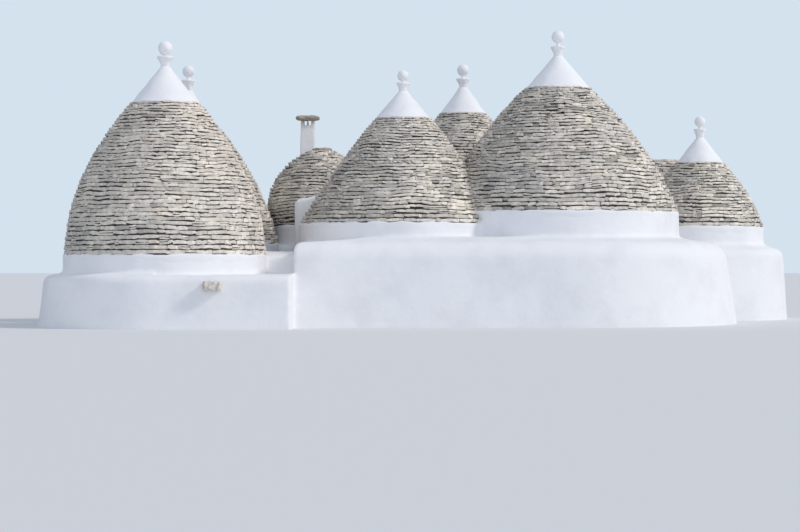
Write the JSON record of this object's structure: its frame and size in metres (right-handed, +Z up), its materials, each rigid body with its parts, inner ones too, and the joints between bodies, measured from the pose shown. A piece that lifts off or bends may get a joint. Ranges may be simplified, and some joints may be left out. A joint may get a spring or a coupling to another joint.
{
  "type": "trullo house",
  "caption": "Whitewashed trullo house of joined round rooms under stepped dry-stone cones with plastered caps, goblet pinnacles and a chimney dome.",
  "frame": {"origin": "middle of the house's plan box, on the plane of the walls' feet", "axes": "+X to the right seen from the garden side, +Y away from the garden side, +Z up"},
  "size_m": [19.9897, 14.21, 7.7063],
  "materials": {
    "roof_stone": "rough grey limestone slabs laid dry",
    "warm_roof_stone": "rough beige limestone slabs laid dry",
    "cap_plaster": "matt limewash on plaster",
    "pinnacle_plaster": "matt limewash on carved limestone",
    "wall_plaster": "matt limewash on plastered masonry",
    "chimney_plaster": "matt limewash, sooty at the smoke slots",
    "chimney_slab": "rough weathered limestone",
    "wall_stone": "rough limestone left bare"
  },
  "bodies": {
    "root": {"main_roof": "roof_stone", "main_cap": "cap_plaster", "main_pinnacle": "pinnacle_plaster", "main_drum": "wall_plaster", "centre_roof": "roof_stone", "centre_cap": "cap_plaster", "centre_pinnacle": "pinnacle_plaster", "centre_drum": "wall_plaster", "rear_roof": "roof_stone", "rear_cap": "cap_plaster", "rear_pinnacle": "pinnacle_plaster", "rear_drum": "wall_plaster", "left_roof": "warm_roof_stone", "left_cap": "cap_plaster", "left_pinnacle": "pinnacle_plaster", "left_drum": "wall_plaster", "left_rear_roof": "roof_stone", "left_rear_cap": "cap_plaster", "left_rear_pinnacle": "pinnacle_plaster", "left_rear_drum": "wall_plaster", "right_roof": "roof_stone", "right_cap": "cap_plaster", "right_pinnacle": "pinnacle_plaster", "right_drum": "wall_plaster", "hearth_roof": "roof_stone", "hearth_crown": "roof_stone", "hearth_drum": "wall_plaster", "chimney_stack": "chimney_plaster", "chimney_slab": "chimney_slab", "low_roof": "roof_stone", "low_slab": "roof_stone", "low_drum": "wall_plaster", "front_wall": "wall_plaster", "main_base": "wall_plaster", "left_base": "wall_plaster", "right_base": "wall_plaster", "left_link_wall": "wall_plaster", "rear_link_wall": "wall_plaster", "hearth_link_wall": "wall_plaster", "parapet_wall": "wall_plaster", "jutting_stone": "wall_stone"}
  },
  "joints": []
}
